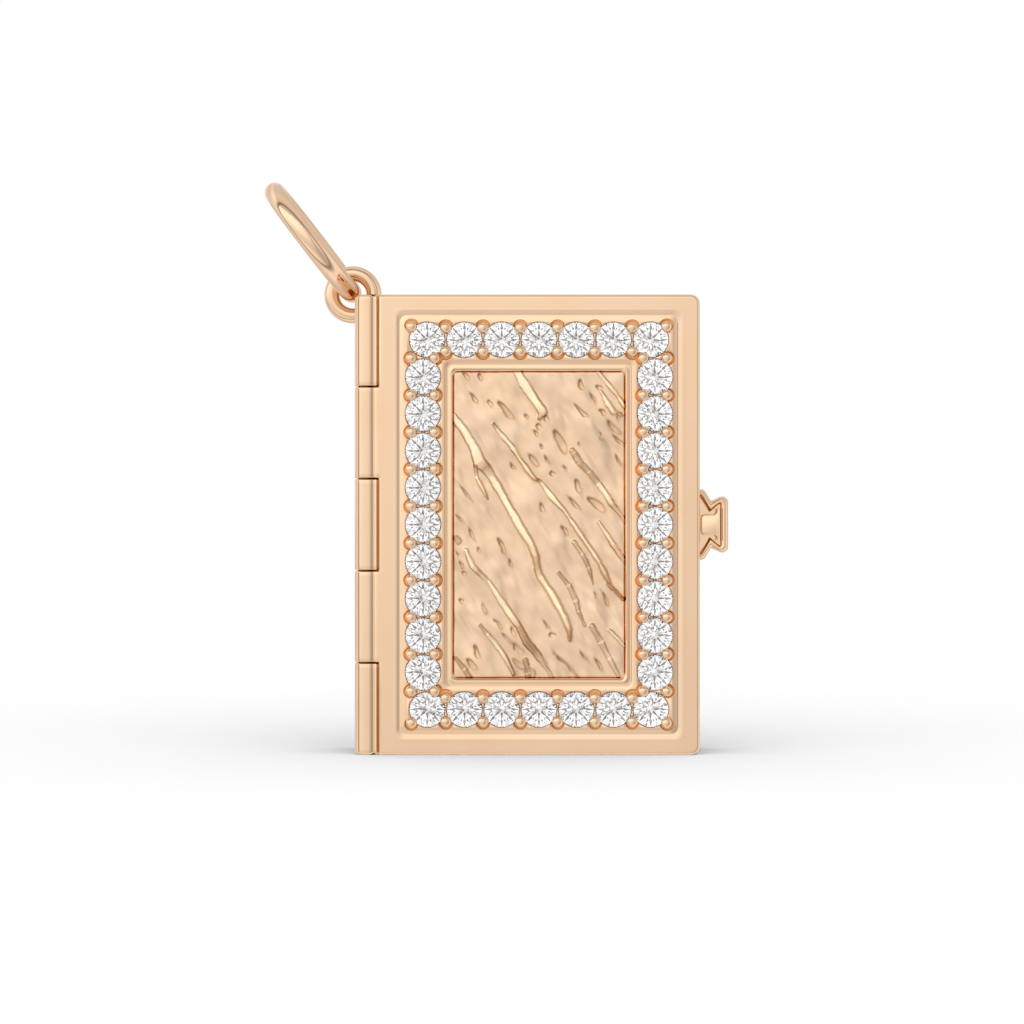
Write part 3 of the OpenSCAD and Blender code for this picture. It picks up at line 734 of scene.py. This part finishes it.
tray = {
    "low": (-6.83, 0.03, 0), "high": (5.94, 2.2, coverH), "cornerR": 0.33,
    "edges": [(2.2, 0.3, 8), (0.03, 0.05, 3)],  # y, radius, segments
    "hollowHalf": (5.19, 7.7), "hollowBack": 1.5, "hollowR": 0.5,
    # round edge of the hollow's floor, as the distance in from the wall and before the floor
    "floorRoll": [(0, 0.15), (0.05, 0.05), (0.15, 0)],
}
keeper = {
    "frontY": -0.62, "backY": 0.68, "floorY": -0.1,
    # outer and inner places along the band down to its round corner, and how much deeper than
    # the bar in front of the tab its inner side is rolled there
    "path": [((5.99, 1.31), (5.99, 1.04), 0.3), ((6.09, 1.31), (6.02, 0.99), 0.3),
             ((6.15, 1.285), (6.05, 0.94), 0.3), ((6.2, 1.22), (6.09, 0.87), 0.3),
             ((6.39, 0.91), (6.3, 0.51), 0.3), ((6.43, 0.885), (6.345, 0.46), 0.3),
             ((6.475, 0.895), (6.39, 0.475), 0.3), ((6.71, 1.0), (6.67, 0.735), 0.22),
             ((6.77, 1.035), (6.72, 0.76), 0.08)],
    "cornerAt": (6.81, 0.81), "cornerR": 0.24, "innerCorner": (6.74, 0.74),
    # how far across the band its ridge runs, and how deep it is rolled on both sides of it
    "ridge": 0.55, "outerRoll": 0.34, "innerRoll": 0.14,
    # rounded back edges: the share of the way across, and the distance before the back
    "backRoll": [(1.0, 0.1), (0.7, 0), (0.3, 0), (0.14, 0.012), (0.04, 0.05), (0.0, 0.1)],
    "footX": (5.74, 6.09), "footY": (0.15, 0.64), "footHalf": 1.25,
}
bail = {"place": (-7.01, 1.35, 17.18), "radius": 0.795, "wireR": 0.285, "notchR": 0.57}


def addSwept(name, path, section):
    # a closed band: each path point has an outer and an inner place in x and z and a depth, and
    # each section point is the share of the way across, y, and how much of that depth it takes
    letGo()
    bpy.ops.mesh.primitive_grid_add(x_subdivisions=len(path) - 1, y_subdivisions=len(section), size=mm)
    piece = settle(name)
    section = section + section[:1]
    for i, vertex in enumerate(piece.data.vertices):
        (x0, z0), (x1, z1), deep = path[i % len(path)]
        share, y, part = section[i // len(path)]
        vertex.co = ((x0 + (x1 - x0) * share) * mm, (y + deep * part) * mm, (z0 + (z1 - z0) * share) * mm)
    openUp()
    bpy.ops.mesh.remove_doubles(threshold=1e-7)
    bpy.ops.mesh.fill_holes(sides=0)
    return closeUp(piece)


def addKeeper():
    # a bent band with a rolled front, closed behind the tab by a web
    x, z = keeper["cornerAt"]
    turn = [math.radians(a) for a in range(80, -1, -16)]
    half = keeper["path"] + [((x + keeper["cornerR"] * math.cos(a), z + keeper["cornerR"] * math.sin(a)),
                              keeper["innerCorner"], 0) for a in turn]
    # the last inner place is lower, as two places in one spot would be merged
    half[-1] = (half[-1][0], (half[-1][1][0], half[-1][1][1] - 0.05), 0)
    path = [((ox, midZ + oz), (ix, midZ + iz), deep) for (ox, oz), (ix, iz), deep in half]
    path += [((ox, midZ - oz), (ix, midZ - iz), deep) for (ox, oz), (ix, iz), deep in reversed(half)]
    ridge, front, back = keeper["ridge"], keeper["frontY"], keeper["backY"]
    turn = [math.radians(10 * k) for k in range(10)]
    section = [(ridge * (1 - math.cos(a)), front + keeper["outerRoll"] * (1 - math.sin(a)), 0) for a in turn]
    section += [(1 - (1 - ridge) * (1 - math.cos(a)), front + keeper["innerRoll"] * (1 - math.sin(a)),
                 1 - math.sin(a)) for a in reversed(turn[:-1])]
    section += [(share, back - before, 0) for share, before in keeper["backRoll"]]
    band = addSwept("keeper", path, section)
    web = addDrawn("web", [((ox + ix) / 2, (oz + iz) / 2) for (ox, oz), (ix, iz), deep in path],
                   "y", keeper["floorY"], [back - 0.01 - keeper["floorY"]])
    return combine(band, web, "UNION")


def addGapCut(z):
    # a pointed saw cut in the tray's front edge, where two knuckles meet
    y = tray["low"][1]
    x0, x1 = hinge["cutX"]
    cut = addRod("cut", hinge["cutR"], (x0, y, z), (x1, y, z), 4)
    openUp()
    bpy.ops.transform.resize(value=(1, 1, hinge["cutFlat"]), center_override=(0, 0, z * mm))
    letGo()
    return cut


def makeBackCover():
    body = addPlate("backCover", tray)
    w, h = tray["hollowHalf"]
    rows = [(w, h, -1)] + [(w - x, h - x, tray["hollowBack"] - before) for x, before in tray["floorRoll"]]
    combine(body, addFramed("hollow", tray["hollowR"], rows), "DIFFERENCE")
    bx, by, bz = bail["place"]
    combine(body, addRod("notch", bail["notchR"], (bx, -1, bz), (bx, 4, bz), 48), "DIFFERENCE")
    for i in hinge["fixed"]:
        combine(body, addFixedKnuckle(i), "UNION")
    for i in range(1, len(hinge["fixed"] + hinge["moving"])):
        combine(body, addGapCut(i * hinge["pitch"]), "DIFFERENCE")
    combine(body, addKeeper(), "UNION")
    (x0, x1), (y0, y1), half = keeper["footX"], keeper["footY"], keeper["footHalf"]
    combine(body, addBox("foot", (x0, y0, midZ - half), (x1, y1, midZ + half)), "UNION")
    combine(body, addRing("bail", bail, (math.pi / 2, 0, 0), (72, 24)), "UNION")
    combine(body, addPinRod("bore", hinge["boreR"], -1, coverH + 1, 32), "DIFFERENCE")
    polish(body)
    dress(body, polishedGold, "back")
    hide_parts("back_cover")
    print("back cover made,", len(body.data.polygons), "faces")


makeBackCover()


# Jump ring: round wire, leaning towards the hinge side

jump = {"place": (-8.507, 1.35, 19.145), "radius": 2.37, "wireR": 0.379, "turn": 1.9, "lean": 52.7}


def makeJumpRing():
    ring = addRing("jumpRing", jump, [math.radians(a) for a in (jump["turn"], jump["lean"], 0)], (180, 40))
    bpy.ops.object.shade_smooth()
    dress(ring, polishedGold, "back")
    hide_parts("jump_ring")
    print("jump ring made")


makeJumpRing()


# Bark panel: raised veins, small islands and pits, and a soft swell along the grain

panel = {
    "size": (6.31, 11.29), "faceY": -1.0, "backY": -0.57, "columns": 224, "rows": 400, "grain": 57,
    "edgeR": 0.04, "flank": 0.011, "softAngle": 60, "seed": 7,
    # soft swell of the ground: grain width and length in mm, and for each layer of it its share
    # and how many times finer it is across and along the grain
    "grainMm": (0.9, 2.4), "swell": 0.045, "layers": [(1.0, 1.0, 1.0), (0.6, 2.1, 2.3), (0.3, 4.5, 5.0)],
    # unevenness of every outline: its size, and its length along and across the grain
    "wobble": [(0.022, 0.35, 0.5), (0.012, 0.13, 0.3)],
    # points of each vein as x, z from the panel's middle, each with its half width and its
    # brightness: 1 is burnished with painted highlight, 0 is the ground's, below 0 is painted shade where the
    # vein falls
    "veins": [
        [(-0.85, 5.75, 0.14, 0.6), (-0.55, 5.2, 0.17, 1.0), (-0.05, 4.45, 0.15, 1.0),
         (0.14, 4.15, 0.14, 0.1), (0.02, 3.95, 0.05, -0.4)],
        [(-3.2, 4.05, 0.1, 0.2), (-2.75, 3.45, 0.13, 0.9), (-2.35, 2.75, 0.16, 1.0),
         (-2.2, 2.3, 0.22, 0.3), (-1.98, 2.1, 0.2, -0.7), (-1.75, 1.78, 0.13, 0.7),
         (-1.25, 0.9, 0.13, 1.0), (-0.72, -0.05, 0.14, 1.0), (-0.3, -0.72, 0.13, 0.8),
         (-0.14, -1.15, 0.11, -0.2), (-0.06, -1.6, 0.1, -0.4), (0.03, -1.9, 0.1, 0.7),
         (0.5, -2.6, 0.11, 1.0), (0.9, -3.35, 0.12, 1.0), (1.1, -3.85, 0.11, -0.3),
         (1.14, -4.25, 0.03, -0.9)],
        [(-2.35, 2.15, 0.07, -0.7), (-2.3, 1.75, 0.06, 0.7), (-2.02, 1.2, 0.05, 0.6),
         (-1.9, 0.95, 0.02, -0.6)],
        [(-1.68, 3.72, 0.05, -0.7), (-1.53, 3.5, 0.06, 0.6), (-0.98, 2.85, 0.09, 1.0),
         (-0.72, 2.45, 0.06, 0.9), (-0.45, 2.05, 0.09, 1.0), (-0.18, 1.72, 0.07, 0.6),
         (-0.05, 1.62, 0.03, -0.8)],
        [(-0.02, 1.68, 0.04, -0.8), (0.12, 1.5, 0.07, 0.5), (0.45, 1.05, 0.09, 1.0),
         (0.95, 0.5, 0.07, 1.0), (1.3, -0.02, 0.07, 1.0), (1.8, -0.75, 0.07, 0.9),
         (2.2, -1.35, 0.07, 0.8), (2.45, -1.85, 0.09, -0.2), (2.68, -2.3, 0.05, -0.4),
         (3.1, -2.75, 0.06, -0.6)],
        [(-2.72, -0.92, 0.06, 0.5), (-2.45, -1.55, 0.08, 0.9), (-2.25, -1.75, 0.09, -0.5),
         (-1.85, -2.1, 0.07, 0.8), (-1.45, -2.75, 0.11, 1.0), (-1.05, -3.35, 0.12, 1.0),
         (-0.75, -3.75, 0.1, -0.3), (-0.45, -4.35, 0.12, -0.7), (-0.1, -4.75, 0.14, -0.7),
         (0.35, -5.4, 0.05, 0.2), (0.5, -5.7, 0.05, 0.2)],
        [(2.15, 5.7, 0.05, 0.7), (2.55, 5.2, 0.08, 1.0), (2.95, 4.7, 0.06, 1.0), (3.15, 4.35, 0.05, 0.8)],
        [(1.22, 2.75, 0.1, -0.2), (1.5, 2.3, 0.13, -0.5), (1.85, 1.95, 0.12, -0.6),
         (2.2, 1.5, 0.09, 0.1), (2.45, 1.15, 0.1, 1.0), (2.7, 0.75, 0.09, -0.3), (3.0, 0.4, 0.05, 0.1),
         (3.2, 0.1, 0.06, 0.2)],
        [(2.2, 0.1, 0.07, 0.5), (2.5, -0.35, 0.07, 1.0), (2.75, -0.75, 0.08, 0.2),
         (3.2, -1.4, 0.06, -0.2)],
        [(2.55, -2.2, 0.08, -0.3), (2.7, -2.35, 0.09, -0.6)],
        [(0.73, -1.78, 0.05, -0.4), (1.1, -2.25, 0.07, -0.2), (1.37, -2.8, 0.08, 0.1),
         (1.46, -3.2, 0.07, -0.4), (1.68, -3.7, 0.06, -0.1)],
        [(1.3, -0.65, 0.06, 0.0), (1.6, -1.1, 0.07, -0.2), (1.85, -1.6, 0.05, -0.4),
         (2.0, -2.2, 0.02, -0.6)],
        [(1.95, -3.75, 0.08, -0.3), (2.3, -4.35, 0.1, 0.0), (2.6, -4.95, 0.1, 0.1),
         (2.95, -5.6, 0.05, 0.1)],
        [(-2.17, -3.72, 0.04, -0.5), (-1.9, -4.05, 0.06, 0.0), (-1.65, -4.35, 0.08, 0.9),
         (-1.35, -4.75, 0.08, 0.6), (-1.1, -5.2, 0.08, 0.0), (-0.95, -5.5, 0.06, -0.2)],
        [(-3.1, -4.9, 0.05, -0.4), (-2.75, -5.35, 0.08, -0.5), (-2.55, -5.7, 0.07, -0.5)],
        [(2.6, -3.9, 0.06, 0.1), (2.95, -4.25, 0.05, 0.8), (3.15, -4.5, 0.04, 0.8)],
        [(2.28, 4.95, 0.05, 0.2), (2.52, 4.5, 0.1, 0.9), (2.75, 4.15, 0.1, 0.3),
         (3.05, 4.05, 0.05, -0.2)],
        [(-0.5, -5.0, 0.1, -0.6), (-0.42, -5.5, 0.09, -0.6), (-0.4, -5.7, 0.09, -0.6)],
    ],
    # pits and islands: x, z, half length, half width, depth share; a negative one stands up
    "pits": [
        (-2.39, 4.68, 0.17, 0.05, 1), (-1.82, 4.48, 0.15, 0.07, 0.5), (-1.21, 4.21, 0.42, 0.1, 0.8),
        (-0.45, 3.97, 0.11, 0.05, 0.6), (0.29, 3.91, 0.14, 0.08, 1), (0.0, 3.62, 0.1, 0.08, 0.7),
        (-0.1, 3.35, 0.13, 0.06, 0.9), (0.8, 3.03, 0.47, 0.13, 0.7), (0.11, 2.86, 0.09, 0.04, 0.9),
        (-0.2, 2.37, 0.3, 0.08, 0.5), (0.31, 2.37, 0.18, 0.055, 0.9), (0.52, 1.88, 0.09, 0.07, 1),
        (0.97, 2.06, 0.11, 0.045, 1), (-0.95, 2.14, 0.11, 0.035, 1), (1.58, 5.14, 0.2, 0.07, 0.9),
        (2.01, 4.66, 0.19, 0.05, 0.9), (2.36, 4.13, 0.14, 0.08, 0.9), (1.58, 4.19, 0.28, 0.05, 1),
        (2.77, 3.6, 0.3, 0.08, 0.8), (2.93, 4.0, 0.12, 0.05, 0.8), (1.48, 2.96, 0.08, 0.04, 0.6),
        (1.46, 1.39, 0.24, 0.09, 0.5), (1.34, 0.75, 0.3, 0.06, 0.9), (0.12, 0.63, 0.18, 0.065, 0.8),
        (-2.68, 1.14, 0.32, 0.03, 0.7), (-2.68, 5.49, 0.15, 0.06, 0.8), (-2.15, 5.46, 0.11, 0.05, 0.8),
        (2.24, 5.01, 0.17, 0.09, 0.8), (2.14, 0.73, 0.38, 0.12, 0.7), (1.42, 2.45, 0.17, 0.11, -0.5),
        (-2.27, -4.75, 0.23, 0.07, 0.9), (-2.46, -5.16, 0.22, 0.08, 0.7), (-1.35, -0.83, 0.28, 0.07, 0.9),
        (-1.05, -1.43, 0.14, 0.05, 0.9), (0.97, -0.22, 0.16, 0.06, 0.9), (-3.01, -1.1, 0.09, 0.03, 1),
        (-2.86, -1.49, 0.12, 0.045, 0.9), (-2.85, -2.84, 0.09, 0.05, 0.8), (0.5, -4.09, 0.11, 0.1, 0.8),
        (0.29, -3.72, 0.16, 0.035, 0.9), (1.04, -5.2, 0.42, 0.045, 0.9), (1.7, -4.91, 0.19, 0.03, 0.8),
        (2.22, -5.16, 0.2, 0.045, 0.8), (2.46, -2.74, 0.26, 0.05, 0.9), (-0.75, -4.6, 0.25, 0.1, 0.8),
        (-0.75, -5.15, 0.28, 0.1, -0.6), (-0.3, -5.45, 0.22, 0.12, -0.7), (-0.95, -3.95, 0.16, 0.05, 0.6),
        (-2.75, -1.8, 0.08, 0.05, 0.8), (-3.0, -0.55, 0.16, 0.09, -0.6), (-2.03, -3.1, 0.23, 0.065, -0.3),
        (-1.48, -3.7, 0.2, 0.05, 0.4), (-1.18, -4.2, 0.22, 0.04, 0.4), (2.3, 3.3, 0.1, 0.03, 0.5),
        (2.95, 2.35, 0.2, 0.04, 0.9), (3.02, 3.05, 0.26, 0.05, 0.6), (-2.48, -0.35, 0.2, 0.035, 0.5),
        (-2.9, 0.2, 0.16, 0.03, 0.4), (2.1, -2.6, 0.1, 0.03, 0.5), (-2.2, -0.95, 0.1, 0.04, 0.4),
    ],
    # how steeply a bright vein climbs along the grain, its first step, and the pits' depth
    "climb": 0.06, "step": 0.04, "pitDepth": 0.035,
}


def softNoise(x, z, sizeX, sizeZ, dice):
    # smooth noise on a grid of random heights, from -1 to 1, with cells of sizeX by sizeZ
    count = 64
    cells = dice.uniform(-1, 1, (count, count))
    u, v = x / sizeX + count / 2 - 1, z / sizeZ + count / 2 - 1
    i, j = np.floor(u).astype(int), np.floor(v).astype(int)
    a, b = u - i, v - j
    a, b = a * a * (3 - 2 * a), b * b * (3 - 2 * b)
    i, j = i % (count - 1), j % (count - 1)
    return ((cells[i, j] * (1 - a) + cells[i + 1, j] * a) * (1 - b)
            + (cells[i, j + 1] * (1 - a) + cells[i + 1, j + 1] * a) * b)


def flankAt(inside):
    # a soft step from 0 outside to 1 inside an outline
    return 1 / (1 + np.exp(-np.clip(inside / panel["flank"], -40, 40)))


def barkRelief(x, z):
    # height above the panel's face in mm, and how burnished each place is, with painted shade and painted
    # highlight mixed in
    grain = math.radians(panel["grain"])
    dice = np.random.default_rng(panel["seed"])
    along = x * math.cos(grain) - z * math.sin(grain)
    across = x * math.sin(grain) + z * math.cos(grain)
    wide, long = panel["grainMm"]
    ground = sum(share * softNoise(across, along, wide / fineX, long / fineZ, dice)
                 for share, fineX, fineZ in panel["layers"])
    wobble = sum(size * softNoise(along, across, sizeX, sizeZ, dice)
                 for size, sizeX, sizeZ in panel["wobble"])
    height = panel["swell"] * ground
    shineAndShade = 0.035 * ground
    outline = np.zeros_like(x)
    for vein in panel["veins"]:
        best = np.full_like(x, -9.0)
        top, bright = np.zeros_like(x), np.zeros_like(x)
        gone = 0
        for (x0, z0, w0, b0), (x1, z1, w1, b1) in zip(vein, vein[1:]):
            length = math.hypot(x1 - x0, z1 - z0)
            t = np.clip(((x - x0) * (x1 - x0) + (z - z0) * (z1 - z0)) / length ** 2, 0, 1)
            inside = w0 + (w1 - w0) * t - np.hypot(x - x0 - t * (x1 - x0), z - z0 - t * (z1 - z0))
            nearer = inside > best
            best = np.where(nearer, inside, best)
            climbs = 1 if b0 + b1 > 0.5 else -1
            top = np.where(nearer, gone + climbs * length * t * panel["climb"], top)
            # painted highlight on runs that rise along the vein, painted shade on runs that fall
            bright = np.where(nearer, b0 + (b1 - b0) * t, bright)
            gone = max(0, gone + climbs * length * panel["climb"])
        cover = flankAt(best + wobble)
        height = height + cover * (panel["step"] + top)
        shineAndShade = shineAndShade * (1 - cover) + cover * bright
        # a painted dark rim round each vein, standing for the shade of its steep edge
        outline = np.maximum(outline * (1 - cover), 4 * cover * (1 - cover))
    for px, pz, halfLong, halfWide, share in panel["pits"]:
        # each lies up to 14 degrees off the grain, is bent a little and is blunter at one end
        turn = grain + math.radians(14) * math.sin(7 * px + 3 * pz)
        u = (x - px) * math.cos(turn) - (z - pz) * math.sin(turn)
        v = (x - px) * math.sin(turn) + (z - pz) * math.cos(turn)
        v = v + 0.25 * halfWide * np.sin(2.2 * u / halfLong + 5 * px) + 0.8 * wobble
        d = (np.abs(u / halfLong) ** 2.6 + np.abs(v / (halfWide * (1 + 0.12 * u / halfLong))) ** 2.2) ** 0.42
        cover = flankAt((1 - d) * halfWide + 0.8 * wobble)
        height = height - cover * share * panel["pitDepth"] * (1 - 0.5 * u / halfLong)
        # painted shade on each pit and island, lighter towards one end, and a painted dark rim round it
        shineAndShade = shineAndShade * (1 - cover) + cover * (-0.45 * abs(share) + 0.35 * np.clip(u / halfLong, -1, 1))
        outline = np.maximum(outline * (1 - cover), 3 * cover * (1 - cover))
    return height, np.clip(0.5 + 0.5 * shineAndShade - 0.5 * outline, 0, 1)


def makePanel():
    letGo()
    width, tall = panel["size"]
    bpy.ops.mesh.primitive_grid_add(x_subdivisions=panel["columns"], y_subdivisions=panel["rows"], size=mm,
                                    location=(0, 0, midZ * mm), rotation=(math.pi / 2, 0, 0))
    bpy.context.active_object.scale = (width, tall, 1)
    plate = settle("barkPanel")
    spots = np.empty(len(plate.data.vertices) * 3)
    plate.data.vertices.foreach_get("co", spots)
    spots = spots.reshape(-1, 3)
    x, z = spots[:, 0] / mm, spots[:, 2] / mm - midZ
    height, shineAndShade = barkRelief(x, z)
    fromEdge = np.minimum(width / 2 - np.abs(x), tall / 2 - np.abs(z))
    drop = panel["edgeR"] * (1 - np.sqrt(1 - np.clip(1 - fromEdge / panel["edgeR"], 0, 1) ** 2))
    spots[:, 1] = (panel["faceY"] - height + drop) * mm
    plate.data.vertices.foreach_set("co", spots.ravel())
    # burnish mixed with painted shade and painted highlight, read by the bark gold's colour
    burnishAndShade = plate.data.attributes.new("burnishAndShade", "FLOAT", "POINT")
    burnishAndShade.data.foreach_set("value", shineAndShade)
    openUp()
    bpy.ops.mesh.region_to_loop()
    bpy.ops.mesh.extrude_edges_move(TRANSFORM_OT_translate={"value": (0, 0.2 * mm, 0)})
    bpy.ops.transform.resize(value=(1, 0, 1), center_override=(0, panel["backY"] * mm, 0))
    bpy.ops.mesh.edge_face_add()
    closeUp(plate)
    take(plate)
    bpy.ops.object.shade_smooth_by_angle(angle=math.radians(panel["softAngle"]))
    dress(plate, barkGold, "front")
    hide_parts("panel")
    print("bark panel made,", len(plate.data.polygons), "faces")


makePanel()


# Solids that stay as they are: the hinge pin and the stones

for name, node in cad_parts.items():
    if name == "hinge_pin" or name.startswith("stone"):
        node.data.materials.clear()
        node.data.materials.append(pinGold if name == "hinge_pin" else diamond)
